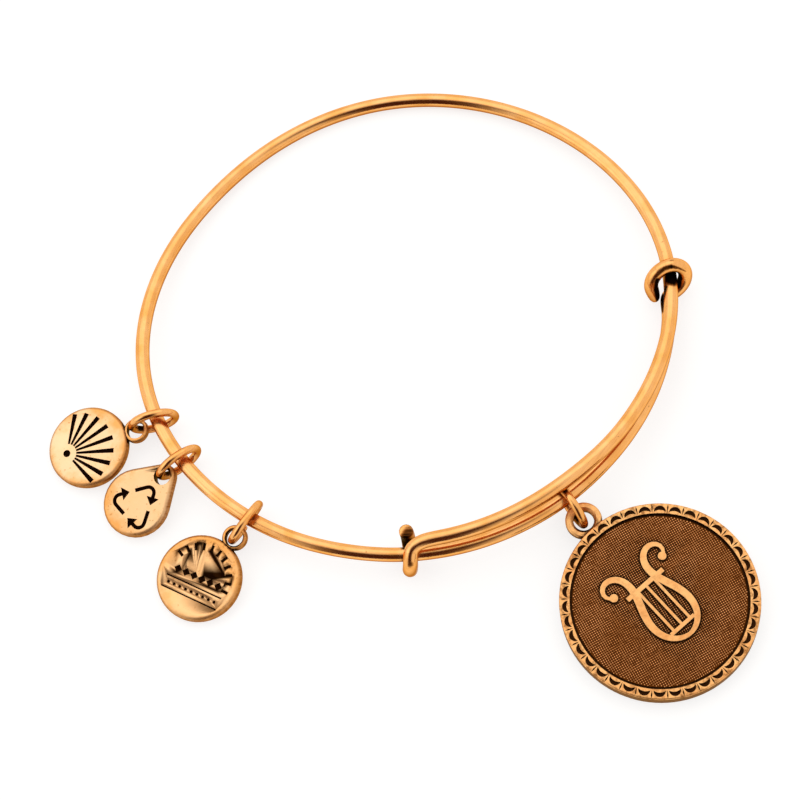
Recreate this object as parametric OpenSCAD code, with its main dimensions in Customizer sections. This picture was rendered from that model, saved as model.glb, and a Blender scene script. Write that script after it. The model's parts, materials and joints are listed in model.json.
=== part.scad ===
// Charm bangle: one round wire bent once and a quarter round an oval, each end wrapped
// round the other strand so that the bangle slides open, with a scalloped round pendant
// and three small charms hung on jump rings. It lies on its side as it would by itself.

/* [Bangle wire] */
// Diameter of the bangle's round wire
wire_d = 1.63; // [1.4:0.01:1.8]
// Long way across the opening that the wrist goes through
opening_long = 59.6; // [54:0.1:70]
// Short way across the opening that the wrist goes through
opening_short = 54.1; // [50:0.1:64]
// Squareness of the hand-bent oval, as a share of its radius
squareness = 0.008; // [0:0.001:0.012]
// Inside width of the tight loop that one end makes round the other strand
wrap_inner_d = 2.47; // [2.4:0.01:2.9]
// Inside width of the loose loop that the other end makes where the strands cross
loop_inner_w = 2.35; // [2.2:0.01:2.9]
// Inside height of the loose loop
loop_inner_h = 1.98; // [1.95:0.01:2.4]
// How far that loop leans along the wire from its foot to its crest
loop_lean = 1; // [0.4:0.1:1.2]
// How far its outer side runs ahead of its inner side along the wire
loop_sway = 1.15; // [0.8:0.05:1.6]
// Length of the tapered tip past that loop
tip_length = 1.8; // [1.2:0.1:2]
// How far the tight loop leans along the wire
wrap_lean = 0.4; // [0:0.1:0.6]
// Length of the cut end that stands up past the tight loop
cut_end_length = 1.1; // [0.3:0.1:1.3]

/* [Jump rings] */
// Diameter of the jump rings' wire
ring_wire_d = 0.95; // [0.8:0.01:1]
// Long way across a jump ring, outside
ring_long = 6.05; // [5.9:0.05:7]
// Short way across a jump ring, outside
ring_short = 4.95; // [4.8:0.05:5.6]
// Saw cut where a jump ring's ends meet
ring_slit = 0.15; // [0.14:0.01:0.25]

/* [Pendant] */
// Diameter of the round pendant
pendant_d = 21.9; // [18:0.1:26]
// Thickness of the pendant at its rim
pendant_t = 2; // [1.6:0.1:2.4]
// Radius that the pendant's edges are rubbed to
pendant_edge_r = 0.2; // [0.1:0.05:0.3]
// Width of the scalloped band inside the edge
band_w = 1.15; // [0.9:0.05:1.3]
// Width of the groove inside the band
groove_w = 0.28; // [0.2:0.02:0.4]
// Depth of the field and the scallops below the rim
field_depth = 0.3; // [0.2:0.02:0.4]
// Number of scallops round the band
scallop_count = 38; // [28:1:40]
// Width of a scallop
scallop_w = 1.3; // [1.1:0.05:1.4]
// Reach of the raised lyre from the pendant's middle
lyre_reach = 5.7; // [4.5:0.1:6.5]
// Outside diameter of the pendant's bail
bail_d = 4.1; // [4:0.05:4.4]
// Diameter of the bail's hole
bail_hole_d = 2.3; // [2.2:0.05:2.5]
// Thickness of the bail
bail_t = 1.1; // [0.9:0.05:1.2]

/* [Small charms] */
// Diameter of the shell charm
shell_d = 9.55; // [8.5:0.05:11]
// Diameter of the banded charm
band_d = 9.85; // [8.5:0.05:11]
// Thickness of the small charms
charm_t = 1.35; // [1.15:0.05:1.6]
// Radius that the small charms' edges are tumbled to
charm_edge_r = 0.5; // [0.3:0.05:0.55]
// Outside diameter of a round charm's eye
eye_d = 2.9; // [2.8:0.05:3.2]
// Diameter of the round charms' holes
eye_hole_d = 2.05; // [1.95:0.05:2.15]
// Thickness of a round charm's eye
eye_t = 0.9; // [0.7:0.05:1]
// Diameter of the teardrop's round end
drop_d = 7.9; // [7:0.1:9.5]
// Distance from the teardrop's hole to the middle of its round end
drop_reach = 4.25; // [3.7:0.05:5]
// Diameter of the teardrop's narrow end
drop_tip_d = 3.05; // [2.9:0.05:4]
// Diameter of the teardrop's hole
drop_hole_d = 1.95; // [1.85:0.05:2.15]
// Depth of the engraved marks
mark_depth = 0.15; // [0.08:0.01:0.25]
// Width of an engraved stroke
mark_w = 0.42; // [0.25:0.01:0.5]

/* [Fits] */
// Clearance between pieces that hang in each other
play = 0.1; // [0.06:0.01:0.15]
// Gap between the crossing strands
strand_gap = 0.2; // [0.15:0.01:0.4]

/* [Hidden] */

WIRE_SIDES = 14;
RING_SIDES = 10;
RING_STEPS = 28;
TURN_STEP = 3.6;
LOOP_STEP = 12;
BEND_STEPS = 7;
OVERCUT = 0.2;
SQUARE_TURN = 80;
EYE_SINK = 0.35;
BAIL_SINK = 0.65;
// Rounding of an eye's and the bail's edges, as a share of their thickness, and depth of the
// flare round the bail's hole
EYE_ROUNDING = 0.3;
BAIL_ROUNDING = 0.25;
BAIL_FLARE = 0.3;

BRASS = "#d9974f";
DARK_BRASS = "#b07840";

oval_a = (opening_long + wire_d) / 2;
oval_b = (opening_short + wire_d) / 2;
wrap_r = (wrap_inner_d + wire_d) / 2;
loop_w = (loop_inner_w + wire_d) / 2;
loop_h = (loop_inner_h + wire_d) / 2;
// How far each loop's middle lies inside the strand that it goes round
LOOP_PLAY = 1.2;
wrap_lag = (wrap_inner_d - wire_d) / 2 - LOOP_PLAY * play;
loop_lag = (loop_inner_w - wire_d) / 2 - LOOP_PLAY * play;

// A jump ring stands on its edge, so its middle is half its short way up
ring_level = ring_short / 2;
ring_a = (ring_long - ring_wire_d) / 2;
ring_b = (ring_short - ring_wire_d) / 2;
// How far the bangle wire can lie from the middle of a jump ring
wire_play = ring_long / 2 - ring_wire_d - wire_d / 2 - play;

// Where things sit round the oval, in degrees clockwise from the right end of its long way
CROSSING_TURN = 13.5;
PENDANT_TURN = 69.5;
WRAP_TURN = 104;
BAND_TURN = 140.75;
DROP_TURN = 162.25;
SHELL_TURN = 174.25;

rest_level = wire_d / 2;
crossing_level = rest_level + wire_d + strand_gap;
wrap_level = rest_level + wrap_r;
wrapped_level = wrap_level - play;
PENDANT_SEAT = 0.905;
// The upper strand rides over the pendant's jump ring, at this angle round the ring
RIDE_ANGLE = 118;
ride_level = ring_level + sin(RIDE_ANGLE) * (ring_short / 2 + wire_d / 2 + play);
pendant_outset = 0.51 * wire_d;
ride_outset = pendant_outset + PENDANT_SEAT * wire_play
    + cos(RIDE_ANGLE) * (ring_long / 2 + wire_d / 2 + play);

// The wire's way round: turn in degrees, height of its middle above the table in mm,
// outset from the plain oval in wire diameters
ROUTE = [
    [CROSSING_TURN + 8, rest_level, -0.05],
    [30, 0.75 * rest_level + 0.25 * ring_level, 0.09],
    [42, 0.5 * (rest_level + ring_level), 0.31],
    [54, 0.2 * rest_level + 0.8 * ring_level, 0.46],
    [PENDANT_TURN, ring_level, pendant_outset / wire_d],
    [84, 0.5 * (ring_level + wrapped_level), 0.38],
    [WRAP_TURN, wrapped_level, 0.13],
    [118, wrapped_level, 0],
    [BAND_TURN, ring_level, -0.02],
    [SHELL_TURN, ring_level, -0.08],
    [215, 0.5 * (rest_level + ring_level), -0.12],
    [236, 0.85 * rest_level + 0.15 * ring_level, -0.15],
    [255, rest_level, -0.08],
    [290, rest_level, -0.05],
    [330, 0.6 * rest_level + 0.4 * crossing_level, -0.04],
    [360 + CROSSING_TURN, crossing_level, 0.05],
    [360 + 30, 0.7 * crossing_level + 0.3 * ride_level, 0.13],
    [360 + 50, 0.35 * crossing_level + 0.65 * ride_level, 0.18],
    [360 + PENDANT_TURN, ride_level, ride_outset / wire_d],
    [360 + WRAP_TURN - 6, wrap_level + wrap_r + 0.2 * wire_d, -0.3]
];

// The tapered tip: share of the tip's length, share of the wire's radius
TIP = [[1, 0.42], [0.93, 0.6], [0.72, 0.8], [0.35, 0.94]];

// Each hanging piece: turn; share of the wire's play that its ring takes up; yaw and lean
// of its ring in degrees; shares of the hole's play that its eye takes up, inward and
// along the bangle; swing of the piece from square, in degrees
PENDANT_HANG = [PENDANT_TURN, PENDANT_SEAT, -3, 3, 0.52, 0.5, 5];
SHELL_HANG = [SHELL_TURN, 0.35, -9, -3, 0.12, 0.66, -7];
DROP_HANG = [DROP_TURN, 0.35, -1, 0, 0.3, 0.7, 4.5];
BAND_HANG = [BAND_TURN, 0.52, -5, 13, 0.7, 0.2, -11];
function turn_of(hang) = hang[0];
function seat_of(hang) = hang[1];
function yaw_of(hang) = hang[2];
function lean_of(hang) = hang[3];
function slip_of(hang) = hang[4];
function slide_of(hang) = hang[5];
function swing_of(hang) = hang[6];

function unit(v) = v / norm(v);
function swell(t) = 1 + squareness * cos(4 * (t - SQUARE_TURN));
function oval(t) = [oval_a * cos(t) * swell(t), oval_b * sin(t) * swell(t), 0];
function outward(t) = unit([cos(t) / oval_a, sin(t) / oval_b, 0]);
function onward(t) = [-outward(t)[1], outward(t)[0], 0];
function up(z) = [0, 0, z];

// Smooth reading of a table that never overshoots its rows
function rise(table, i, col) =
    (table[i + 1][col] - table[i][col]) / (table[i + 1][0] - table[i][0]);
function slope(table, i, col) =
    i <= 0 ? rise(table, 0, col)
    : i >= len(table) - 1 ? rise(table, len(table) - 2, col)
    : let (before = rise(table, i - 1, col), after = rise(table, i, col))
        before * after <= 0 ? 0 : 2 * before * after / (before + after);
function row_at(table, x, i = 0) =
    i >= len(table) - 2 || x < table[i + 1][0] ? i : row_at(table, x, i + 1);
function read(table, x, col) =
    let (
        i = row_at(table, x),
        span = table[i + 1][0] - table[i][0],
        u = (x - table[i][0]) / span,
        k0 = slope(table, i, col) * span,
        k1 = slope(table, i + 1, col) * span
    )
    table[i][col] * (1 + 2 * u) * pow(1 - u, 2) + k0 * u * pow(1 - u, 2)
    + table[i + 1][col] * u * u * (3 - 2 * u) - k1 * u * u * (1 - u);

function wire_at(turn) =
    oval(-turn) + outward(-turn) * read(ROUTE, turn, 2) * wire_d + up(read(ROUTE, turn, 1));

function bend(p0, p1, p2, p3, u) =
    p0 * pow(1 - u, 3) + 3 * p1 * u * pow(1 - u, 2) + 3 * p2 * u * u * (1 - u) + p3 * pow(u, 3);

// Loose loop where the strands cross: the lower strand comes up outside the upper one,
// goes over it and ends in a tapered tip on the inner side
crossing_middle = wire_at(360 + CROSSING_TURN) - outward(-CROSSING_TURN) * loop_lag;
LOOP_START = -80;
LOOP_END = 192;
function crossing_loop(angle) =
    crossing_middle
    + outward(-CROSSING_TURN) * loop_w * cos(angle)
    + onward(-CROSSING_TURN) * (loop_lean * sin(angle) + loop_sway * (1 + cos(angle)) / 2)
    + up(loop_h * sin(angle));
function crossing_way(angle) =
    unit(crossing_loop(angle + 1) - crossing_loop(angle - 1));

// Tight loop: the upper strand bends down over the lower one and comes up on the inner side
wrap_middle =
    let (p = wire_at(WRAP_TURN) - outward(-WRAP_TURN) * wrap_lag) [p[0], p[1], wrap_level];
WRAP_START = 60;
WRAP_END = -180;
function wrap_loop(angle) =
    wrap_middle
    + outward(-WRAP_TURN) * wrap_r * cos(angle)
    + onward(-WRAP_TURN) * wrap_lean * max(0, sin(angle))
    + up(wrap_r * sin(angle));
function wrap_way(angle) = unit(wrap_loop(angle - 1) - wrap_loop(angle + 1));

lower_start = ROUTE[0][0];
upper_end = ROUTE[len(ROUTE) - 1][0];
// How long the bend's straight starts are, in wire diameters, at the loop and at the strand
LOOP_PULL = 0.7;
STRAND_PULL = 1.3;
WRAP_PULL = 0.8;

// The lower bend lies on the table
function lower_bend(u) =
    let (
        from = crossing_loop(LOOP_START),
        to = wire_at(lower_start),
        p = bend(from, from - crossing_way(LOOP_START) * LOOP_PULL * wire_d,
            to + onward(-lower_start) * STRAND_PULL * wire_d, to, u)
    )
    [p[0], p[1], max(p[2], rest_level)];
function upper_bend(u) =
    let (from = wire_at(upper_end), to = wrap_loop(WRAP_START))
    bend(from, from - onward(-upper_end) * WRAP_PULL * wire_d,
        to - wrap_way(WRAP_START) * WRAP_PULL * wire_d, to, u);

turn_count = ceil((upper_end - lower_start) / TURN_STEP);
wire_path = [
    for (row = TIP) crossing_loop(LOOP_END) + crossing_way(LOOP_END) * tip_length * row[0],
    for (angle = [LOOP_END : -LOOP_STEP : LOOP_START + LOOP_STEP / 2]) crossing_loop(angle),
    for (i = [0 : BEND_STEPS - 1]) lower_bend(i / BEND_STEPS),
    for (i = [0 : turn_count - 1])
        wire_at(lower_start + (upper_end - lower_start) * i / turn_count),
    for (i = [0 : BEND_STEPS - 1]) upper_bend(i / BEND_STEPS),
    for (angle = [WRAP_START : -LOOP_STEP : WRAP_END]) wrap_loop(angle),
    wrap_loop(WRAP_END) + up(cut_end_length)
];
wire_radii = [
    for (row = TIP) row[1] * wire_d / 2,
    for (i = [len(TIP) : len(wire_path) - 1]) wire_d / 2
];

// Directions square to the path, each turned as little as it can be from the one before
function path_way(path, i) =
    unit(path[min(i + 1, len(path) - 1)] - path[max(i - 1, 0)]);
function square_to(side, way) = unit(side - way * (side * way));
function sides_along(path) = [
    for (
        i = 0, side = square_to([0.2, 0.1, 1], path_way(path, 0));
        i < len(path);
        i = i + 1, side = i < len(path) ? square_to(side, path_way(path, i)) : side
    ) side
];

// Round wire along an open path, with a flat cut at each end
module swept_wire(path, radii, sides) {
    across = sides_along(path);
    points = [
        for (i = [0 : len(path) - 1])
            let (down = cross(path_way(path, i), across[i]))
            for (j = [0 : sides - 1])
                let (angle = 360 * j / sides)
                path[i] + radii[i] * (across[i] * cos(angle) + down * sin(angle))
    ];
    last = (len(path) - 1) * sides;
    skin = [
        for (i = [0 : len(path) - 2], j = [0 : sides - 1])
            let (a = i * sides + j, b = i * sides + (j + 1) % sides)
            each [[a, b + sides, b], [a, a + sides, b + sides]]
    ];
    polyhedron(
        points = points,
        faces = concat(
            [[for (j = [0 : sides - 1]) j]],
            skin,
            [[for (j = [sides - 1 : -1 : 0]) last + j]]
        )
    );
}

module bangle_wire() {
    color(BRASS) swept_wire(wire_path, wire_radii, WIRE_SIDES);
}

// A jump ring's middle and its two directions: its long way, level, and its short way
function ring_middle(hang) =
    let (
        p = wire_at(turn_of(hang))
            + outward(-turn_of(hang)) * (seat_of(hang) * wire_play)
    )
    [p[0], p[1], ring_b * cos(lean_of(hang)) + ring_wire_d / 2];
function ring_way(hang) =
    outward(-turn_of(hang)) * cos(yaw_of(hang)) + onward(-turn_of(hang)) * sin(yaw_of(hang));
function ring_rise(hang) =
    let (way = ring_way(hang))
    [-way[1] * sin(lean_of(hang)), way[0] * sin(lean_of(hang)), cos(lean_of(hang))];
function ring_at(hang, angle) =
    ring_middle(hang)
    + ring_way(hang) * ring_a * cos(angle) + ring_rise(hang) * ring_b * sin(angle);

module jump_ring(hang) {
    half_slit = asin(ring_slit / 2 / ring_a);
    path = [
        for (i = [0 : RING_STEPS])
            ring_at(hang, -90 + half_slit + (360 - 2 * half_slit) * i / RING_STEPS)
    ];
    swept_wire(path, [for (p = path) ring_wire_d / 2], RING_SIDES);
}

// Height at which an eye's inner edge rests on the lower limb of its jump ring, when the
// eye's middle is at this share of the ring's long way
EYE_SEAT = 0.93;
function eye_level(hang, hole_d, half_t) =
    let (
        inner_edge = EYE_SEAT * ring_a - slip_of(hang) * hole_play(hole_d) - hole_d / 2,
        limb = ring_b * sqrt(1 - pow(inner_edge / ring_a, 2)) * cos(lean_of(hang))
    )
    ring_middle(hang)[2] - limb + ring_wire_d / 2 + play + half_t;
function hole_play(hole_d) = (hole_d - ring_wire_d) / 2 - play;

// Middle of a hanging piece's hole, where the jump ring's outer end comes through it
function hole_middle(hang, hole_d, half_t) =
    let (
        level = eye_level(hang, hole_d, half_t),
        angle = asin((level - ring_middle(hang)[2]) / ring_b / cos(lean_of(hang))),
        p = ring_at(hang, angle)
            - outward(-turn_of(hang)) * (slip_of(hang) * hole_play(hole_d))
            + onward(-turn_of(hang)) * (slide_of(hang) * hole_play(hole_d))
    )
    [p[0], p[1], level];

// Tilt at which a piece of a given reach, with its hole held up, rests its far edge on the table
function lying_tilt(level, reach, half_t, edge_r) =
    let (arm = reach - edge_r, drop = half_t - edge_r)
    asin((level - edge_r) / norm([arm, drop])) - atan(drop / arm);

// Lays a piece that is drawn flat, hole at the origin and far end towards +X
module lay(hang, hole_d, eye_half_t, reach, half_t, edge_r) {
    away = outward(-turn_of(hang));
    hole = hole_middle(hang, hole_d, eye_half_t);
    translate(hole)
        rotate([0, 0, atan2(away[1], away[0]) + swing_of(hang)])
            rotate([0, lying_tilt(hole[2], reach, half_t, edge_r), 0])
                children();
}

// Flat round blank with a tumbled edge, standing on both sides of the plane z = 0
module tumbled_blank(d, t, edge_r, steps = 64) {
    rotate_extrude($fn = steps)
        union() {
            translate([0, -t / 2])
                square([d / 2 - edge_r, t]);
            translate([0, edge_r - t / 2])
                square([d / 2, t - 2 * edge_r]);
            for (side = [-1, 1])
                translate([d / 2 - edge_r, side * (t / 2 - edge_r)])
                    circle(r = edge_r, $fn = 32);
        }
}

// Round charm with an eye soldered to its edge, drawn with the eye's hole at the origin
function eye_reach(d) = (d + eye_d) / 2 - EYE_SINK;
module round_charm(d) {
    difference() {
        union() {
            translate([eye_reach(d), 0, 0])
                tumbled_blank(d, charm_t, charm_edge_r);
            tumbled_blank(eye_d, eye_t, EYE_ROUNDING * eye_t, 48);
        }
        cylinder(d = eye_hole_d, h = eye_t + 2 * OVERCUT, center = true, $fn = 48);
        translate([eye_reach(d), 0, charm_t / 2 - mark_depth])
            linear_extrude(mark_depth + OVERCUT)
                children();
    }
}

// Ribbed fan of a scallop shell, spread from a hinge, as shares of the charm's diameter
SHELL_RIBS = 9;
SHELL_SPREAD = 128;
SHELL_HINGE = 0.27;
SHELL_HINGE_D = 0.09;
SHELL_RIB_START = 0.12;
SHELL_RIB_END = 0.6;
// How much shorter the outermost ribs are, and how wide a rib is at its two ends in strokes
SHELL_SHORTENING = 0.17;
SHELL_RIB_W = [0.6, 1.35];
module shell_marks() {
    translate([SHELL_HINGE * shell_d, 0]) {
        circle(d = SHELL_HINGE_D * shell_d, $fn = 24);
        for (i = [0 : SHELL_RIBS - 1])
            let (
                share = 2 * i / (SHELL_RIBS - 1) - 1,
                near = SHELL_RIB_START * shell_d,
                far = SHELL_RIB_END * shell_d * (1 - SHELL_SHORTENING * share * share),
                half = SHELL_RIB_W * mark_w / 2
            )
            rotate(180 + share * SHELL_SPREAD / 2)
                polygon([[near, -half[0]], [far, -half[1]], [far, half[1]], [near, half[0]]]);
    }
}

module shell_charm() {
    color(BRASS)
        lay(
            SHELL_HANG, eye_hole_d, eye_t / 2, eye_reach(shell_d) + shell_d / 2,
            charm_t / 2, charm_edge_r
        )
            round_charm(shell_d) shell_marks();
}

// Rows of plain pressed ornament, as shares of the charm's diameter: an arc of bars, a row
// of lozenges, and dots between two lines
ARC_BARS = 11;
ARC_SPREAD = 156;
ARC_R = 0.36;
BAR_SIZE = [2, 0.8];
LOZENGES = 6;
LOZENGE_PITCH = 0.105;
LOZENGE_W = 1.65;
LINE_PLACES = [0.11, 0.25];
LINE_REACH = 0.36;
LINE_W = 0.4;
LINE_DOTS = 9;
DOT_PITCH = 0.075;
DOT_D = 0.85;
BAND_LEAN = 16;
module band_marks() {
    for (i = [0 : ARC_BARS - 1])
        rotate(180 + ARC_SPREAD * (i / (ARC_BARS - 1) - 0.5))
            translate([ARC_R * band_d, 0])
                square(BAR_SIZE * mark_w, center = true);
    rotate(BAND_LEAN) {
        for (i = [0 : LOZENGES - 1])
            translate([0, LOZENGE_PITCH * band_d * (i - (LOZENGES - 1) / 2)])
                rotate(45)
                    square(LOZENGE_W * mark_w, center = true);
        for (place = LINE_PLACES)
            translate([place * band_d, 0])
                square([LINE_W * mark_w, 2 * LINE_REACH * band_d], center = true);
        for (i = [0 : LINE_DOTS - 1])
            translate([
                (LINE_PLACES[0] + LINE_PLACES[1]) / 2 * band_d,
                DOT_PITCH * band_d * (i - (LINE_DOTS - 1) / 2)
            ])
                circle(d = DOT_D * mark_w, $fn = 16);
    }
}

module band_charm() {
    color(BRASS)
        lay(
            BAND_HANG, eye_hole_d, eye_t / 2, eye_reach(band_d) + band_d / 2,
            charm_t / 2, charm_edge_r
        )
            round_charm(band_d) band_marks();
}

// One of three arrows that chase each other round a triangle with rounded corners: its
// tail, its bend and its head, as shares of the teardrop's round end
ARROW_CORNER = 0.25;
ARROW_BEND = 0.088;
ARROW_TAIL = 0.185;
ARROW_NECK = 0.045;
ARROW_HEAD = 0.115;
ARROW_HEAD_W = 0.19;
ARROW_STEPS = 8;
// Where the middle of the three arrows sits from the middle of the round end
ARROWS_SHIFT = [0.02, 0.04];
module chasing_arrow() {
    bend_r = ARROW_BEND * drop_d;
    middle = [ARROW_CORNER * drop_d, 0];
    function at(angle, r, along) =
        middle + r * [cos(angle), sin(angle)] + along * [-cos(30), sign(angle) * sin(30)];
    outside = bend_r + mark_w / 2;
    inside = bend_r - mark_w / 2;
    half_head = ARROW_HEAD_W * drop_d / 2;
    neck = ARROW_NECK * drop_d;
    polygon([
        at(-60, outside, ARROW_TAIL * drop_d),
        for (i = [0 : ARROW_STEPS]) at(120 * i / ARROW_STEPS - 60, outside, 0),
        at(60, outside, neck),
        at(60, bend_r + half_head, neck),
        at(60, bend_r, neck + ARROW_HEAD * drop_d),
        at(60, bend_r - half_head, neck),
        at(60, inside, neck),
        for (i = [ARROW_STEPS : -1 : 0]) at(120 * i / ARROW_STEPS - 60, inside, 0),
        at(-60, inside, ARROW_TAIL * drop_d)
    ]);
}

module drop_charm() {
    color(BRASS)
        lay(
            DROP_HANG, drop_hole_d, charm_t / 2, drop_reach + drop_d / 2,
            charm_t / 2, charm_edge_r
        )
            difference() {
                hull() {
                    tumbled_blank(drop_tip_d, charm_t, charm_edge_r, 32);
                    translate([drop_reach, 0, 0])
                        tumbled_blank(drop_d, charm_t, charm_edge_r, 32);
                }
                cylinder(d = drop_hole_d, h = charm_t + 2 * OVERCUT, center = true, $fn = 48);
                translate([drop_reach, 0, charm_t / 2 - mark_depth])
                    linear_extrude(mark_depth + OVERCUT)
                        translate(ARROWS_SHIFT * drop_d)
                            for (i = [0 : 2])
                                rotate(180 + 120 * i)
                                    mirror([0, 1])
                                        chasing_arrow();
            }
}

// Lyre: two arms that start together at the foot, bend out and in again and roll over at
// the top, with strings from a bridge to a crossbar; all as shares of the lyre's reach
ARM_START = [-0.02, -0.86];
ARM_LENGTH = 2.72;
// How fast an arm bends at its foot and at its tip, in degrees
ARM_BENDING = [128, -440];
// Width at the foot, pull of the middle and width at the tip; and the bead on the tip
ARM_W = [0.08, 0.24, 0.06];
ARM_BEAD_D = 0.17;
ARM_STEPS = 36;
// Crossbar and bridge: length, thickness and height of the middle
CROSSBAR = [0.92, 0.1, 0.41];
BRIDGE = [0.6, 0.08, -0.64];
STRINGS = 3;
STRING_PITCH = 0.2;
STRING_W = 0.06;
function arm_heading(u) =
    ARM_LENGTH * (ARM_BENDING[0] * u + (ARM_BENDING[1] - ARM_BENDING[0]) * pow(u, 3) / 3);
function arm_half(u) =
    (ARM_W[0] * pow(1 - u, 2) + 2 * ARM_W[1] * u * (1 - u) + ARM_W[2] * u * u) / 2;
function arm_way(u) = [cos(arm_heading(u)), sin(arm_heading(u))];
arm_line = [
    for (
        i = 0, p = ARM_START;
        i <= ARM_STEPS;
        i = i + 1, p = p + arm_way((i - 0.5) / ARM_STEPS) * ARM_LENGTH / ARM_STEPS
    ) p
];
function arm_side(side) = [
    for (i = [0 : ARM_STEPS])
        let (u = i / ARM_STEPS, way = arm_way(u))
        arm_line[i] + side * arm_half(u) * [-way[1], way[0]]
];
module bar(row) {
    translate([0, row[2]])
        square([row[0], row[1]], center = true);
}
module lyre() {
    scale(lyre_reach) {
        for (side = [0, 1])
            mirror([side, 0]) {
                polygon([each arm_side(1), for (i = [ARM_STEPS : -1 : 0]) arm_side(-1)[i]]);
                translate(arm_line[ARM_STEPS])
                    circle(d = ARM_BEAD_D, $fn = 32);
            }
        bar(CROSSBAR);
        bar(BRIDGE);
        for (i = [0 : STRINGS - 1])
            translate([STRING_PITCH * (i - (STRINGS - 1) / 2), 0])
                bar([STRING_W, CROSSBAR[2] - BRIDGE[2], (CROSSBAR[2] + BRIDGE[2]) / 2]);
    }
}

bail_reach = (pendant_d + bail_d) / 2 - BAIL_SINK;

// Depth of the groove round the field, as a multiple of the field's
GROOVE_SINK = 1.6;
// A scallop's two circles: how far outside the groove each middle is, as shares of the
// band's width, and how much wider the inner one is
SCALLOP_OUT = [0.165, -0.64];
SCALLOP_CORE = 1.685;
// Pointed dart between scallops: where it starts, is widest and ends, and half its width
DART = [0.05, 0.6, 0.92];
DART_HALF = 0.075;

// Half-moon hollow of one scallop
module scallop_hollow(groove_r) {
    difference() {
        translate([groove_r + SCALLOP_OUT[0] * band_w, 0])
            circle(d = scallop_w, $fn = 32);
        translate([groove_r + SCALLOP_OUT[1] * band_w, 0])
            circle(d = scallop_w * SCALLOP_CORE, $fn = 32);
    }
}

module pendant_body() {
    groove_r = pendant_d / 2 - band_w;
    top = pendant_t / 2;
    groove_depth = GROOVE_SINK * field_depth;
    difference() {
        union() {
            tumbled_blank(pendant_d, pendant_t, pendant_edge_r, 96);
            translate([-bail_reach, 0, 0])
                tumbled_blank(bail_d, bail_t, BAIL_ROUNDING * bail_t);
        }
        translate([-bail_reach, 0, 0]) {
            cylinder(d = bail_hole_d, h = bail_t + 2 * OVERCUT, center = true, $fn = 64);
            translate([0, 0, bail_t / 2 - BAIL_FLARE])
                cylinder(
                    d1 = bail_hole_d,
                    d2 = bail_hole_d + 2 * (BAIL_FLARE + OVERCUT),
                    h = BAIL_FLARE + OVERCUT,
                    $fn = 64
                );
        }
        translate([0, 0, top - field_depth])
            cylinder(r = groove_r, h = field_depth + OVERCUT, $fn = 96);
        translate([0, 0, top - groove_depth])
            difference() {
                cylinder(r = groove_r, h = groove_depth, $fn = 96);
                cylinder(r = groove_r - groove_w, h = groove_depth, $fn = 96);
            }
        translate([0, 0, top - field_depth])
            linear_extrude(field_depth + OVERCUT)
                for (i = [0 : scallop_count - 1])
                    rotate((i + 0.5) * 360 / scallop_count) {
                        scallop_hollow(groove_r);
                        rotate(180 / scallop_count)
                            translate([groove_r, 0])
                                scale(band_w)
                                    polygon([
                                        [DART[0], 0],
                                        [DART[1], -DART_HALF],
                                        [DART[2], 0],
                                        [DART[1], DART_HALF]
                                    ]);
                    }
    }
}

module pendant() {
    color(DARK_BRASS)
        lay(
            PENDANT_HANG, bail_hole_d, bail_t / 2, bail_reach + pendant_d / 2,
            pendant_t / 2, pendant_edge_r
        )
            translate([bail_reach, 0, 0])
                union() {
                    pendant_body();
                    translate([0, 0, pendant_t / 2 - field_depth])
                        linear_extrude(field_depth)
                            rotate(90)
                                lyre();
                }
}

module pendant_ring() {
    color(BRASS) jump_ring(PENDANT_HANG);
}

module shell_charm_ring() {
    color(BRASS) jump_ring(SHELL_HANG);
}

module drop_charm_ring() {
    color(BRASS) jump_ring(DROP_HANG);
}

module band_charm_ring() {
    color(BRASS) jump_ring(BAND_HANG);
}

bangle_wire();
pendant_ring();
pendant();
shell_charm_ring();
shell_charm();
drop_charm_ring();
drop_charm();
band_charm_ring();
band_charm();
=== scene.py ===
import json
import math

import bpy
import numpy as np
from mathutils import Matrix, Vector
from mathutils.bvhtree import BVHTree

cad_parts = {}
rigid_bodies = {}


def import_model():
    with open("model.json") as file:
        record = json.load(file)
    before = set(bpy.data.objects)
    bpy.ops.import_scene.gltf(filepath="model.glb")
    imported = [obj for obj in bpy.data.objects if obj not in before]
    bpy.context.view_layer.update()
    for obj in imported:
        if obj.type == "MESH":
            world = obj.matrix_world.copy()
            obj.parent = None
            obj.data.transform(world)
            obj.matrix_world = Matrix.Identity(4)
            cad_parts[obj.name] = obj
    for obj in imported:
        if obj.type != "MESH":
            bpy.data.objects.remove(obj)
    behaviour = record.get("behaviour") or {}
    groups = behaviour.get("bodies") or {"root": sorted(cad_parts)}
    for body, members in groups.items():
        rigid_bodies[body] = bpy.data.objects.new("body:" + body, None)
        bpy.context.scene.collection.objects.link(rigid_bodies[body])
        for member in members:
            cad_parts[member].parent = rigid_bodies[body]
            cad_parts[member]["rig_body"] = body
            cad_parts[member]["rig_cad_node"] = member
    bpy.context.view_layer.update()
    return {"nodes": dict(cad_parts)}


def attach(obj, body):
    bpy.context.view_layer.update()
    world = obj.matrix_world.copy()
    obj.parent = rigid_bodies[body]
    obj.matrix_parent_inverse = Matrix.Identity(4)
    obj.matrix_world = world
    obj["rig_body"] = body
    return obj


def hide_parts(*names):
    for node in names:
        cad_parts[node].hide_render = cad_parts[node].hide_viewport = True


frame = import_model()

# The bangle: one drawn brass wire, gold plated and then rubbed, bent into an oval and wrapped
# round itself at both ends. It is copied from the solid and made round between its flats. Its
# cut ends stay square. Tarnish and painted shade are left in its bends, dark patches are laid
# about its wraps, and it carries a painted highlight on its upper side and painted shade on its
# lower sides.
MM = 0.001
WELD = 0.002 * MM
WIRE_D = 1.63 * MM
WIRE_SIDES = 14
# Share of the thickness that rounding takes off a wire which is given back to it
ROUNDED_TO = 0.78
FLAT_WIRE_ANGLE = math.radians(0.02)
END_CREASE = 0.85
# The drawing lines' pattern in one radian round the bangle: short, so that the lines are long
LINES_DRAWN_OUT = 2.0 * MM
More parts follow.
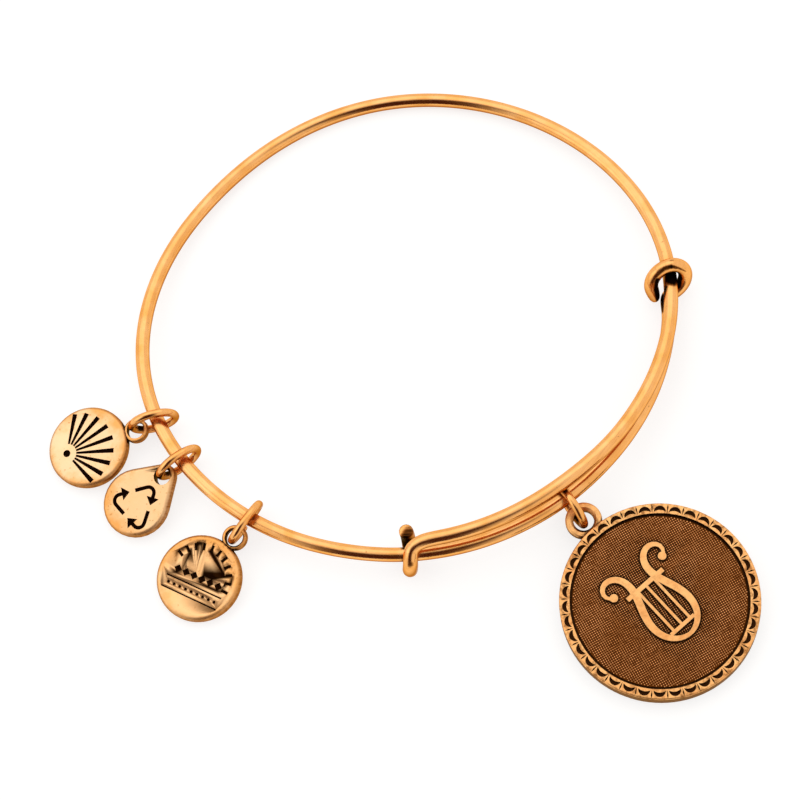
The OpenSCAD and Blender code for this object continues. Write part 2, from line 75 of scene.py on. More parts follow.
# How steeply a dark patch fades towards its reach
PATCH_FADE = 1.6

BRIGHT_GOLD = (0.98, 0.5, 0.17)
WARM_GOLD = (0.9, 0.4, 0.095)
# Painted highlight on the wire's upper side
PAINTED_HIGHLIGHT_GOLD = (1.0, 0.58, 0.3)
DRAWN_LINES = (0.62, 0.25, 0.05)
# Painted shade on the wire's lower sides
PAINTED_SHADE_LOW_SIDES = (0.46, 0.145, 0.022)
# Browns and blacks of tarnish; on the wire and rings they also carry painted shade in crevices
BROWN_TARNISH_AND_SHADE = (0.2, 0.06, 0.01)
BLACK_TARNISH_AND_SHADE = (0.006, 0.002, 0.001)
# What metal turns to where it is seen at a low angle, as a share of its own colour
LOW_ANGLE_TINT = (0.85, 0.62, 0.42, 1)

# Where the wire is darkened, about its wraps. Each patch runs through a few points: x, y and z
# in mm, how far it reaches from there, and how dark its middle is, from 0.3 for brown to 1 for
# black
DARK_PATCHES = [
    [
        (29.0, -5.7, 4.75, 0.2, 0.34),
        (29.75, -5.4, 5.1, 0.34, 0.46),
        (30.5, -5.42, 5.08, 0.36, 0.62),
        (31.3, -5.7, 4.7, 0.24, 0.48),
        (32.07, -6.11, 3.93, 0.12, 0.32),
    ],
    [(30.6, -4.78, 5.15, 0.2, 0.3), (31.0, -4.8, 5.1, 0.2, 0.3)],
    [(29.94, -5.8, 4.0, 0.75, 1.0), (30.75, -5.9, 3.23, 0.9, 1.0), (31.2, -6.15, 2.9, 0.55, 0.9)],
    [(30.2, -6.2, 3.42, 0.75, 0.7), (30.3, -6.6, 3.42, 0.75, 0.7)],
    [(30.98, -6.47, 2.19, 0.6, 0.9), (31.0, -6.6, 1.8, 0.6, 0.9)],
    [(28.7, -6.2, 4.1, 0.45, 0.8), (28.45, -6.6, 2.9, 0.6, 1.0), (28.55, -7.2, 1.4, 0.7, 1.0)],
    [(28.75, -7.5, 1.4, 0.65, 0.8), (28.37, -8.7, 1.2, 0.5, 0.6)],
    [(-6.75, -25.3, 3.96, 0.85, 0.52), (-7.1, -25.6, 3.96, 0.85, 0.52)],
    [(-7.5, -25.9, 3.2, 1.1, 0.9), (-7.5, -25.95, 2.3, 1.1, 0.9)],
    [(-7.49, -29.2, 4.87, 0.4, 0.3), (-7.49, -29.25, 4.8, 0.4, 0.3)],
]


def deselect():
    if bpy.context.object and bpy.context.object.mode != "OBJECT":
        bpy.ops.object.mode_set(mode="OBJECT")
    bpy.ops.object.select_all(action="DESELECT")


def pick(piece):
    deselect()
    piece.select_set(True)
    bpy.context.view_layer.objects.active = piece


def copy_of(node, name):
    """A piece of its own, with the shape of one solid and its loose triangles joined."""
    pick(frame["nodes"][node])
    bpy.ops.object.duplicate()
    piece = bpy.context.object
    piece.name = piece.data.name = name
    piece.parent = None
    piece.data.materials.clear()
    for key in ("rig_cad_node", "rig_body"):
        if key in piece:
            del piece[key]
    bpy.ops.object.mode_set(mode="EDIT")
    bpy.ops.mesh.select_all(action="SELECT")
    bpy.ops.mesh.remove_doubles(threshold=WELD)
    bpy.ops.mesh.customdata_custom_splitnormals_clear()
    bpy.ops.object.mode_set(mode="OBJECT")
    return piece


def apply_all(piece):
    pick(piece)
    for modifier in list(piece.modifiers):
        bpy.ops.object.modifier_apply(modifier=modifier.name)


def round_the_wire(piece, sides, wire_d):
    """Turns a wire of flat sides into a smooth round one of the same thickness."""
    pick(piece)
    bpy.ops.object.mode_set(mode="EDIT")
    bpy.ops.mesh.select_all(action="SELECT")
    bpy.ops.mesh.dissolve_limited(angle_limit=FLAT_WIRE_ANGLE)
    bpy.ops.mesh.select_all(action="SELECT")
    bpy.ops.mesh.tris_convert_to_quads(
        face_threshold=math.radians(60), shape_threshold=math.radians(80)
    )
    smoothed = (2 + math.cos(2 * math.pi / sides)) / 3
    bpy.ops.transform.shrink_fatten(value=wire_d / 2 * (1 - smoothed) * ROUNDED_TO)
    bpy.ops.mesh.select_all(action="DESELECT")
    bpy.ops.object.mode_set(mode="OBJECT")
    for face in piece.data.polygons:
        face.select = len(face.vertices) > 4
    bpy.ops.object.mode_set(mode="EDIT")
    bpy.ops.mesh.region_to_loop()
    bpy.ops.transform.edge_crease(value=END_CREASE)
    bpy.ops.object.mode_set(mode="OBJECT")
    smooth = piece.modifiers.new("round", "SUBSURF")
    smooth.levels = smooth.render_levels = 2
    apply_all(piece)
    bpy.ops.object.shade_smooth()


def store(piece, name, values):
    """Keeps one number for each corner of a piece, for its material to read."""
    layer = piece.data.attributes.new(name, "FLOAT", "POINT")
    layer.data.foreach_set("value", values)


def darken_in_patches(piece):
    """Stores how dark the listed patches make each corner, from 0 outside them to 1."""
    runs = [
        (Vector(a[:3]) * MM, Vector(b[:3]) * MM, a[3:], b[3:])
        for points in DARK_PATCHES
        for a, b in zip(points, points[1:])
    ]
    values = []
    for vertex in piece.data.vertices:
        darkest = 0.0
        for start, end, at_start, at_end in runs:
            run = end - start
            share = min(1.0, max(0.0, (vertex.co - start).dot(run) / run.length_squared))
            reach, depth = (a + (b - a) * share for a, b in zip(at_start, at_end))
            apart = (vertex.co - start - run * share).length
            darkest = max(darkest, depth * min(1.0, PATCH_FADE * (1 - apart / (reach * MM))))
        values.append(darkest)
    store(piece, "darken_in_patches", values)


class Nodes:
    """Short calls for building the nodes of one material, or of the world."""

    def __init__(self, name, owner=None):
        self.material = owner or bpy.data.materials.new(name)
        self.material.use_nodes = True
        self.tree = self.material.node_tree
        self.shader = self.tree.nodes["Background" if owner else "Principled BSDF"]

    def new(self, kind, inputs=(), **settings):
        made = self.tree.nodes.new("ShaderNode" + kind)
        for key, value in settings.items():
            setattr(made, key, value)
        for key, value in dict(inputs).items():
            self.put(value, made.inputs[key])
        return made

    def put(self, value, socket):
        if isinstance(value, bpy.types.NodeSocket):
            self.tree.links.new(value, socket)
        else:
            socket.default_value = value

    def math(self, kind, a, b=0.0):
        return self.new("Math", {0: a, 1: b}, operation=kind).outputs[0]

    def plus(self, a, b):
        return self.math("ADD", a, b)

    def less(self, a, b):
        return self.math("SUBTRACT", a, b)

    def times(self, a, b):
        return self.math("MULTIPLY", a, b)

    def place(self):
        return self.new("TexCoord").outputs["Object"]

    def normal(self):
        return self.new("NewGeometry").outputs["Normal"]

    def split(self, vector):
        return self.new("SeparateXYZ", {0: vector}).outputs

    def length(self, x, y):
        return self.math("SQRT", self.plus(self.times(x, x), self.times(y, y)))

    def along(self, vector, way):
        made = self.new("VectorMath", {0: vector, 1: way}, operation="DOT_PRODUCT")
        return made.outputs["Value"]

    def stored(self, name):
        made = self.new("Attribute", attribute_name=name, attribute_type="GEOMETRY")
        return made.outputs["Fac"]

    def noise(self, vector, scale, detail=3.0, roughness=0.5):
        inputs = {"Vector": vector, "Scale": scale, "Detail": detail, "Roughness": roughness}
        return self.new("TexNoise", inputs).outputs["Fac"]

    def ramp(self, value, *stops):
        made = self.new("ValToRGB", {"Fac": value})
        points = made.color_ramp.elements
        while len(points) < len(stops):
            points.new(0.5)
        for point, (place, shade) in zip(points, stops):
            point.position = place
            point.color = (shade, shade, shade, 1)
        return made.outputs["Color"]

    def blend(self, share, a, b):
        made = self.new("Mix", {"Factor": share}, data_type="RGBA")
        for value, socket in ((a, made.inputs[6]), (b, made.inputs[7])):
            self.put(value if isinstance(value, bpy.types.NodeSocket) else (*value, 1), socket)
        return made.outputs[2]

    def bump(self, height, distance, strength):
        made = self.new("Bump", {"Height": height, "Distance": distance, "Strength": strength})
        self.put(made.outputs["Normal"], self.shader.inputs["Normal"])

    def metal(self, colour, roughness):
        """Makes the shader a metal of this colour, warmer where it is seen at a low angle."""
        self.put(colour, self.shader.inputs["Base Color"])
        self.put(roughness, self.shader.inputs["Roughness"])
        self.shader.inputs["Metallic"].default_value = 1.0
        self.shader.inputs["Specular Tint"].default_value = LOW_ANGLE_TINT


def rubbed_gold_wire_with_painted_light(name, lines_across, shade_up_to):
    """Plated wire: fine drawing lines along it, warmer patches, a painted highlight on top, painted
    shade on its lower sides, and brown and black in crevices from tarnish and painted shade.
    """
    n = Nodes(name)
    place = n.place()
    x, y, z = n.split(place)
    turned = n.times(n.math("ARCTAN2", y, x), LINES_DRAWN_OUT)
    along = n.new("CombineXYZ", {0: turned, 1: n.length(x, y), 2: z}).outputs[0]
    lines = n.noise(along, lines_across, 4.0, 0.6)
    patches = n.noise(place, 420.0, 3.0, 0.55)
    drifts = n.noise(place, 95.0, 2.0, 0.5)
    grain = n.noise(place, 5200.0, 2.0, 0.6)
    body = n.blend(n.ramp(patches, (0.4, 0.0), (0.66, 1.0)), BRIGHT_GOLD, WARM_GOLD)
    body = n.blend(n.ramp(drifts, (0.4, 0.0), (0.66, 0.55)), body, WARM_GOLD)
    body = n.blend(n.ramp(lines, (0.5, 0.0), (0.78, 0.6)), body, DRAWN_LINES)

    upward = n.split(n.normal())[2]
    # Painted highlight: the wire is paler where it faces up, broken up in patches
    painted_highlight = n.times(
        n.ramp(upward, (0.45, 0.0), (0.95, 0.35)), n.ramp(patches, (0.3, 1.0), (0.7, 0.3))
    )
    body = n.blend(painted_highlight, body, PAINTED_HIGHLIGHT_GOLD)
    # Painted shade: the wire is browner on the sides that face sideways and down
    body = n.blend(n.ramp(upward, (0.05, 0.95), (shade_up_to, 0.0)), body, PAINTED_SHADE_LOW_SIDES)

    # Patina and painted shade: brown to black in crevices, in random patches and in the dark
    # patches
    uneven = n.times(n.less(patches, 0.5), 0.3)
    patch_darkness = n.times(n.stored("darken_in_patches"), n.ramp(lines, (0.3, 0.7), (0.6, 1.0)))
    patina_and_shade = n.plus(n.plus(n.stored("nearness"), uneven), patch_darkness)
    body = n.blend(n.ramp(patina_and_shade, (0.13, 0.0), (0.36, 1.0)), body, BROWN_TARNISH_AND_SHADE)
    body = n.blend(n.ramp(patina_and_shade, (0.36, 0.0), (0.56, 1.0)), body, BLACK_TARNISH_AND_SHADE)
    pits = n.ramp(n.noise(place, 2400.0, 1.0), (0.74, 0.0), (0.82, 0.5))
    body = n.blend(pits, body, BROWN_TARNISH_AND_SHADE)

    n.metal(body, n.plus(n.plus(0.13, n.times(lines, 0.12)), n.times(patina_and_shade, 0.4)))
    n.bump(n.plus(n.times(lines, 0.6), n.times(grain, 0.25)), 0.014 * MM, 0.7)
    return n.material


bangle = copy_of("bangle_wire", "bangle")
round_the_wire(bangle, WIRE_SIDES, WIRE_D)
darken_in_patches(bangle)
bangle.data.materials.append(rubbed_gold_wire_with_painted_light("rubbed_gold_wire_with_painted_light", 5200.0, 0.42))
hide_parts("bangle_wire")
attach(bangle, "root")

# The jump rings: short lengths of thinner plated brass wire bent into ovals, each closed with
# its saw-cut ends nearly touching, so the pendant and the charms can hang from the bangle.
RING_WIRE_D = 0.95 * MM
RING_SIDES = 10

# The rings take the wire's finish, with the painted shade reaching further up their sides
ring_gold = rubbed_gold_wire_with_painted_light("rubbed_gold_ring_with_painted_light", 2400.0, 0.7)
rings = []
for owner in ("pendant", "shell_charm", "drop_charm", "band_charm"):
    ring = copy_of(owner + "_ring", owner + "_jump_ring")
    round_the_wire(ring, RING_SIDES, RING_WIRE_D)
    darken_in_patches(ring)
    ring.data.materials.append(ring_gold)
    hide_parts(owner + "_ring")
    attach(ring, "root")
    rings.append(ring)

# The small charms: discs and a teardrop stamped from brass sheet and plated, tumbled until
# their edges are round, with marks pressed into their faces and filled with black.
CHARM_EDGE = 0.03 * MM
# Edges shorter than this are closed up
SLIVER = 0.0004 * MM
# A face looks up when the upright share of its normal is more than this
LOOKS_UP = 0.9
FLAT_ANGLE = math.radians(0.05)
SHARP_ANGLE = math.radians(35)
SHADED_ANGLE = math.radians(32)
# Corners this close to the highest one lie on the upper face
LEVEL = 0.01 * MM
MARK_DEPTH_MM = 0.15

STAMPED_PALE = (1.0, 0.72, 0.45)
STAMPED_WARM = (1.0, 0.55, 0.21)
SPECK_BROWN = (0.55, 0.24, 0.06)
# Painted shade on the charms' sides
EDGE_SHADE_AND_SCUFFS = (0.3, 0.1, 0.018)
# Patina and painted shade in the charms' eye holes and beside the pendant's lyre
HOLE_PATINA_AND_SHADE = (0.02, 0.006, 0.001)
# How much of each charm is of the warmer colour, as painted light: the charms further left, nearer
# the light, are paler
PAINTED_LIGHT_WARM_SHARE = {"shell_charm": 0.1, "drop_charm": 0.35, "band_charm": 0.55}


def join_flats(piece):
    """Joins the triangles of each flat face and leaves the piece in edit mode."""
    pick(piece)
    bpy.ops.object.mode_set(mode="EDIT")
    bpy.ops.mesh.select_all(action="SELECT")
    bpy.ops.mesh.dissolve_limited(angle_limit=FLAT_ANGLE)


def soften(piece, width):
    """Breaks every sharp edge a little, as rubbing does."""
    join_flats(piece)
    bpy.ops.object.mode_set(mode="OBJECT")
    edges = piece.modifiers.new("edges", "BEVEL")
    edges.limit_method = "ANGLE"
    edges.angle_limit = SHARP_ANGLE
    edges.width = width
    edges.segments = 2
    edges.use_clamp_overlap = True
    apply_all(piece)
    bpy.ops.object.shade_smooth_by_angle(angle=SHADED_ANGLE)
    flat = piece.modifiers.new("flat", "WEIGHTED_NORMAL")
    flat.weight = 100
    flat.keep_sharp = True
    apply_all(piece)


def face_of(piece):
    """The way that a flat piece's upper face looks, and how far out along it that face lies."""
    best = max(piece.data.polygons, key=lambda face: face.area * (face.normal.z > LOOKS_UP))
    way = best.normal.copy()
    return way, max(vertex.co.dot(way) for vertex in piece.data.vertices)


def stamped_gold(name, piece, way, level, painted_light_warm_share):
    """Tumbled stamping: pale where it is flat, black in its pressed marks, with painted shade
    warmer towards its rim and browner on its sides, and patina and painted shade in its eye hole.
    """
    corners = [vertex.co for vertex in piece.data.vertices if vertex.co.dot(way) > level - LEVEL]
    middle = sum(corners, Vector()) / len(corners)
    radius = max((corner - middle).length for corner in corners)
    n = Nodes(name)
    place = n.place()
    depth = n.math("DIVIDE", n.less(level, n.along(place, way)), MM)
    facing = n.along(n.normal(), way)
    from_middle = n.new("VectorMath", {0: place, 1: middle}, operation="DISTANCE").outputs["Value"]
    clouds = n.noise(place, 500.0, 4.0, 0.6)
    drawn_out = n.new("Mapping", {"Vector": place, "Rotation": (0, 0, 0.6), "Scale": (1, 5, 1)})
    scuffs = n.noise(drawn_out.outputs[0], 900.0, 5.0, 0.7)
    grain = n.noise(place, 6500.0, 2.0, 0.6)
    # Painted light: each charm's own share of the warmer colour, in uneven clouds
    warm = n.ramp(clouds, (0.3, painted_light_warm_share), (0.7, painted_light_warm_share + 0.25))
    body = n.blend(warm, STAMPED_PALE, STAMPED_WARM)
    # Painted shade: warmer and darker towards the rim, in uneven clouds
    outer = n.plus(n.math("DIVIDE", from_middle, radius), n.times(n.less(clouds, 0.5), 0.8))
    body = n.blend(n.ramp(outer, (0.66, 0.0), (1.0, 0.85)), body, WARM_GOLD)
    specks = n.plus(n.noise(place, 2600.0, 2.0, 0.5), n.times(outer, 0.06))
    body = n.blend(n.ramp(specks, (0.68, 0.0), (0.76, 0.6)), body, SPECK_BROWN)

    # Painted shade: the sides that turn away from the face are browner, uneven with scuffs
    edge = n.ramp(facing, (0.0, 1.0), (0.5, 0.9), (0.85, 0.4), (0.98, 0.0))
    body = n.blend(n.times(edge, n.ramp(scuffs, (0.3, 0.6), (0.62, 1.0))), body, EDGE_SHADE_AND_SCUFFS)
    # Patina and painted shade: black in the eye hole, where the ring closes it in
    hole = n.ramp(n.stored("nearness"), (0.1, 0.0), (0.22, 1.0))
    body = n.blend(hole, body, HOLE_PATINA_AND_SHADE)
    pressed = n.ramp(depth, (MARK_DEPTH_MM * 0.4, 0.0), (MARK_DEPTH_MM * 0.65, 1.0))
    above_eye = n.ramp(n.less(MARK_DEPTH_MM * 1.35, depth), (0.0, 0.0), (0.02, 1.0))
    not_edge = n.ramp(facing, (0.35, 1.0), (0.5, 0.0), (0.9, 0.0), (0.96, 1.0))
    body = n.blend(n.times(n.times(pressed, above_eye), not_edge), body, BLACK_TARNISH_AND_SHADE)

    n.metal(body, n.plus(0.34, n.times(scuffs, 0.18)))
    n.bump(n.plus(n.times(scuffs, 0.5), n.times(grain, 0.3)), 0.015 * MM, 0.5)
    return n.material


charms = []
for owner, painted_light_warm_share in PAINTED_LIGHT_WARM_SHARE.items():
    charm = copy_of(owner, owner + "_stamped")
    way, level = face_of(charm)
    soften(charm, CHARM_EDGE)
    # Known fault: this step comes after the normals are set and leaves the banded charm's wrong,
    # so its face shades smeared. Its mesh is flat. Without the step the shading is clean, but
    # that charm keeps 1888 slivers.
    bpy.ops.object.mode_set(mode="EDIT")
    bpy.ops.mesh.select_all(action="SELECT")
    bpy.ops.mesh.dissolve_degenerate(threshold=SLIVER)
    bpy.ops.object.mode_set(mode="OBJECT")
    charm.data.materials.append(stamped_gold(owner + "_gold", charm, way, level, painted_light_warm_share))
    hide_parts(owner)
    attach(charm, "root")
    charms.append(charm)

# The pendant: a cast brass disc with a bail soldered on, a scalloped rim and a raised lyre in
# a sunk field. It was dipped black, then rubbed, so only its raised parts are bright. Its rounded
# edges carry a painted highlight, its outer side painted shade, and its walls and crevices patina
# and painted shade.
PENDANT_D = 21.9 * MM
BAND_W = 1.15 * MM
GROOVE_W = 0.28 * MM
EDGE_W = 0.22 * MM
FIELD_R = PENDANT_D / 2 - BAND_W - GROOVE_W
FIELD_DEPTH = 0.3 * MM
PENDANT_EDGE = 0.035 * MM
LYRE_EDGE = 0.05 * MM
# Upper corners this close to the pendant's radius are taken to be on its rim
RIM_BAND = 0.6 * MM
# The lyre lies within this share of the pendant's radius
LYRE_WITHIN = 0.7

CAST_BRIGHT = (1.0, 0.56, 0.22)
CAST_WARM = (0.9, 0.4, 0.13)
WORN_BROWN = (0.26, 0.09, 0.02)
# Worn edges that also carry a painted highlight
WORN_EDGE_AND_HIGHLIGHT = (1.0, 0.6, 0.27)
# Painted shade on the pendant's outer side
OUTER_SIDE_SHADE = (0.12, 0.04, 0.008)
FIELD_FLOOR = (0.115, 0.03, 0.0035)
# Patina and painted shade on the pendant's walls and in its crevices
HOLLOW_PATINA_AND_SHADE = (0.03, 0.01, 0.003)


def place_of_disc(piece, way, level, radius):
    """Where the pendant's disc lies: its middle and its way up, from the corners of its rim."""
    side = Vector((1, 0, 0)).cross(way).cross(way).normalized() * -1
    turn = Matrix((side, way.cross(side), way))
    flat = np.array([turn @ vertex.co for vertex in piece.data.vertices])
    rim = flat[flat[:, 2] > flat[:, 2].max() - LEVEL][:, :2]
    middle = (rim.min(0) + rim.max(0)) / 2
    for _ in range(30):
        apart = np.linalg.norm(rim - middle, axis=1)
        on = rim[np.abs(apart - radius) < RIM_BAND]
        rows = np.column_stack([2 * on, np.ones(len(on))])
        middle = np.linalg.lstsq(rows, (on**2).sum(1), rcond=None)[0][:2]
    return turn.transposed().to_4x4() @ Matrix.Translation((middle[0], middle[1], level))


def round_over(piece, chosen, width):
    """Rounds the sharp edges whose both ends are chosen, to a radius of their own."""
    join_flats(piece)
    bpy.ops.mesh.select_mode(type="EDGE")
    bpy.ops.mesh.select_all(action="DESELECT")
    bpy.ops.mesh.edges_select_sharp(sharpness=SHARP_ANGLE)
    bpy.ops.object.mode_set(mode="OBJECT")
    corners = piece.data.vertices
    weights = piece.data.attributes.new("bevel_weight_edge", "FLOAT", "EDGE")
    for edge, weight in zip(piece.data.edges, weights.data):
        weight.value = float(edge.select and all(chosen(corners[i].co) for i in edge.vertices))
    bpy.ops.object.mode_set(mode="EDIT")
    bpy.ops.mesh.select_mode(type="VERT")
    bpy.ops.object.mode_set(mode="OBJECT")
    edges = piece.modifiers.new("rounded", "BEVEL")
    edges.limit_method = "WEIGHT"
    edges.width = width
    edges.segments = 3
    edges.use_clamp_overlap = False
    apply_all(piece)


def antiqued_cast_with_painted_light(name):
    """Dark cast brass: black in its hollows, worn bright on what stands out, with a painted
    highlight on its rounded edges, painted shade on its outer side, and patina and painted shade on
    its walls and in its crevices.
    """
    n = Nodes(name)
    place = n.place()
    turned = {"Location": pendant_place.translation, "Rotation": pendant_place.to_euler()}
    local = n.new("Mapping", {"Vector": place, **turned}, vector_type="TEXTURE").outputs[0]
    x, y, z = n.split(local)
    depth = n.math("DIVIDE", z, -MM)
    out = n.length(x, y)

    def within(radius, *stops):
        return n.ramp(n.math("DIVIDE", n.less(radius, out), MM), *stops)

    inside = within(PENDANT_D / 2 - EDGE_W, (0.0, 0.0), (0.06, 1.0))
    in_disc = within(PENDANT_D / 2, (0.0, 0.35), (0.02, 1.0))
    in_field = within(FIELD_R, (0.0, 0.0), (0.02, 1.0))
    facing = n.along(n.normal(), pendant_way)
    clouds = n.noise(place, 380.0, 4.0, 0.6)
    rubs = n.noise(place, 1600.0, 4.0, 0.65)
    grain = n.noise(place, 7000.0, 2.0, 0.6)
    body = n.blend(n.ramp(clouds, (0.35, 0.0), (0.7, 1.0)), CAST_BRIGHT, CAST_WARM)
    patchy = n.less(in_disc, n.times(in_field, 0.7))
    worn_off = n.times(n.ramp(rubs, (0.46, 0.0), (0.66, 0.8)), patchy)
    body = n.blend(worn_off, body, WORN_BROWN)

    sunk = n.times(inside, n.ramp(depth, (0.06, 0.0), (0.16, 1.0)))
    body = n.blend(sunk, body, BLACK_TARNISH_AND_SHADE)
    below = n.ramp(n.less(depth, FIELD_DEPTH / MM * 0.8), (0.0, 0.0), (0.02, 1.0))
    body = n.blend(n.times(in_field, below), body, FIELD_FLOOR)
    # Wear and painted highlight: the rounded edges are paler
    worn_edge_and_highlight = n.ramp(facing, (0.55, 0.0), (0.8, 0.8), (0.97, 0.8), (0.995, 0.0))
    body = n.blend(n.times(inside, worn_edge_and_highlight), body, WORN_EDGE_AND_HIGHLIGHT)
    # Patina and painted shade: the walls within the rim are black
    inner_wall = n.ramp(facing, (0.3, 0.95), (0.65, 0.0))
    body = n.blend(n.times(inside, inner_wall), body, HOLLOW_PATINA_AND_SHADE)
    # Painted shade: the disc's outer side is dark
    shaded_outer_wall = n.ramp(facing, (0.05, 0.95), (0.6, 0.0))
    body = n.blend(n.times(n.less(1.0, inside), shaded_outer_wall), body, OUTER_SIDE_SHADE)
    # Patina and painted shade: black in crevices and where the ring closes in the bail
    crevice = n.ramp(n.stored("nearness"), (0.2, 0.0), (0.42, 1.0))
    body = n.blend(crevice, body, HOLLOW_PATINA_AND_SHADE)

    n.metal(body, n.plus(0.3, n.times(rubs, 0.22)))
    n.bump(n.plus(n.times(rubs, 0.5), n.times(grain, 0.3)), 0.02 * MM, 0.6)
    return n.material


pendant = copy_of("pendant", "pendant_cast")
pendant_way, pendant_face = face_of(pendant)
pendant_place = place_of_disc(pendant, pendant_way, pendant_face, PENDANT_D / 2)
from_pendant = pendant_place.inverted()


def on_lyre(corner):
    spot = from_pendant @ corner
    return spot.z > -LEVEL and math.hypot(spot.x, spot.y) < LYRE_WITHIN * PENDANT_D / 2


round_over(pendant, on_lyre, LYRE_EDGE)
soften(pendant, PENDANT_EDGE)
pendant.data.materials.append(antiqued_cast_with_painted_light("antiqued_cast_brass_with_painted_light"))
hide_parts("pendant")
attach(pendant, "root")

# The pendant's field: rows of tiny pyramids cast with it all over the sunk floor, dark brown
# between them, worn at their tips, and black next to the lyre with patina and painted shade. One
# is modelled, and two arrays repeat it.
PYRAMID_PITCH = 0.25 * MM
PYRAMID_HEIGHT = 0.07 * MM
PYRAMID_CORNERS = 8
# The pyramid's half diagonal at its foot and at its tip, as shares of the pitch
FOOT_R = 0.62
TIP_R = 0.3
FIELD_TURN = math.radians(12)
SUNK_IN = 0.01 * MM
FIELD_MARGIN = 0.05 * MM
BESIDE_REACH = 0.4 * MM
OVER_FIELD = 0.1 * MM

TIP_BRIGHT = (0.98, 0.44, 0.165)
TIP_WARM = (0.7, 0.28, 0.085)
TIP_WORN = (0.3, 0.1, 0.025)
FOOT_BROWN = (0.105, 0.026, 0.003)


def shade_beside(piece, wall, way, reach):
    """Stores how close each corner of a flat field is to a raised wall, from 0 to 1 against it."""
    tree = BVHTree.FromObject(wall, bpy.context.evaluated_depsgraph_get())
    away = way.to_track_quat("Z", "Y")
    turns = [k * math.pi / 6 for k in range(12)]
    round_about = [away @ Vector((math.cos(a), math.sin(a), 0)) for a in turns]
    values = []
    for vertex in piece.data.vertices:
        start = vertex.co + way * OVER_FIELD
        found = [tree.ray_cast(start, ray, reach)[3] for ray in round_about]
        values.append(1 - min([reach] + [hit for hit in found if hit is not None]) / reach)
    store(piece, "beside", values)


def rubbed_field_with_painted_shade(name):
    """The pyramids: dark brown between them, worn to copper brown at their tips, black next to the
    lyre with patina and painted shade.
    """
    n = Nodes(name)
    place = n.place()
    over_floor = n.less(n.along(place, pendant_way), pendant_face - FIELD_DEPTH)
    up = n.math("DIVIDE", over_floor, PYRAMID_HEIGHT)
    clouds = n.noise(place, 300.0, 4.0, 0.6)
    uneven = n.noise(place, 2300.0, 1.0, 0.5)
    tip = n.blend(n.ramp(clouds, (0.35, 0.0), (0.7, 1.0)), TIP_BRIGHT, TIP_WARM)
    tip = n.blend(n.ramp(uneven, (0.5, 0.0), (0.72, 0.7)), tip, TIP_WORN)
    body = n.blend(n.ramp(up, (0.25, 0.0), (0.95, 1.0)), FOOT_BROWN, tip)
    # Patina and painted shade: black next to the lyre's walls
    body = n.blend(n.ramp(n.stored("beside"), (0.2, 0.0), (0.75, 0.95)), body, HOLE_PATINA_AND_SHADE)
    n.metal(body, n.plus(0.32, n.times(clouds, 0.15)))
    return n.material


deselect()
count = int(2 * FIELD_R / PYRAMID_PITCH) + 2
corner_out = -(count - 1) / 2 * PYRAMID_PITCH
bpy.ops.mesh.primitive_cone_add(
    vertices=4,
    radius1=PYRAMID_PITCH * FOOT_R,
    radius2=PYRAMID_PITCH * TIP_R,
    depth=PYRAMID_HEIGHT,
    location=(corner_out, corner_out, PYRAMID_HEIGHT / 2),
    rotation=(0, 0, math.radians(45)),
)
pyramids = bpy.context.object
pyramids.name = pyramids.data.name = "pendant_field_pyramids"
bpy.ops.object.transform_apply(location=True, rotation=True, scale=True)
for axis in (0, 1):
    rows = pyramids.modifiers.new("rows", "ARRAY")
    rows.count = count
    rows.use_relative_offset = False
    rows.use_constant_offset = True
    step = [0, 0, 0]
    step[axis] = PYRAMID_PITCH
    rows.constant_offset_displace = step
apply_all(pyramids)
bpy.ops.object.mode_set(mode="EDIT")
bpy.ops.mesh.select_all(action="DESELECT")
bpy.ops.object.mode_set(mode="OBJECT")
corners = pyramids.data.vertices
for first in range(0, len(corners), PYRAMID_CORNERS):
    own = [corners[first + k] for k in range(PYRAMID_CORNERS)]
    middle_out = (sum((corner.co for corner in own), Vector()) / PYRAMID_CORNERS).to_2d().length
    for corner in own:
        corner.select = middle_out > FIELD_R - FIELD_MARGIN
bpy.ops.object.mode_set(mode="EDIT")
bpy.ops.mesh.delete(type="VERT")
bpy.ops.object.mode_set(mode="OBJECT")
for corner in pyramids.data.vertices:
    trim = min(1.0, FIELD_R / corner.co.to_2d().length)
    corner.co = (corner.co.x * trim, corner.co.y * trim, corner.co.z)
on_floor = Matrix.Translation((0, 0, -FIELD_DEPTH - SUNK_IN)) @ Matrix.Rotation(FIELD_TURN, 4, "Z")
pyramids.data.transform(pendant_place @ on_floor)
pyramids.data.update()
shade_beside(pyramids, pendant, pendant_way, BESIDE_REACH)
pyramids.data.materials.append(rubbed_field_with_painted_shade("rubbed_field_with_painted_shade"))
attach(pyramids, "root")

# The tarnish and painted shade in crevices: what rubbing can't reach stays brown and black, and
# the shade that falls there is painted in too, in bends, between the strands, inside the jump rings
# and in holes. It is worked out once all pieces are there.
WIRE_REACH = 1.4 * MM
RING_REACH = 1.2 * MM
HUNG_REACH = 2.6 * MM
OFF_SKIN = 0.02 * MM
# The slanted rays that look for metal round a corner, as shares across and up
LEAN_ACROSS = 0.75
LEAN_UP = 0.66


def shade_by_nearness(piece, others, reach):
    """Stores how closed in each corner is, from 0 in the open to 1 deep in a crevice."""
    trees = [BVHTree.FromObject(other, bpy.context.evaluated_depsgraph_get()) for other in others]
    turns = [k * math.pi / 4 for k in range(8)]
    leaning = [
        Vector((math.cos(a) * LEAN_ACROSS, math.sin(a) * LEAN_ACROSS, LEAN_UP)) for a in turns
    ]
    rays = [Vector((0, 0, 1)), *leaning]
    values = []
    for vertex in piece.data.vertices:
        away = vertex.normal.to_track_quat("Z", "Y")
        start = vertex.co + vertex.normal * OFF_SKIN
        closed = 0
        for ray in rays:
            found = [tree.ray_cast(start, away @ ray, reach) for tree in trees]
            closed += 1 - min((hit[3] for hit in found if hit[0]), default=reach) / reach
        values.append(closed / len(rays))
    store(piece, "nearness", values)


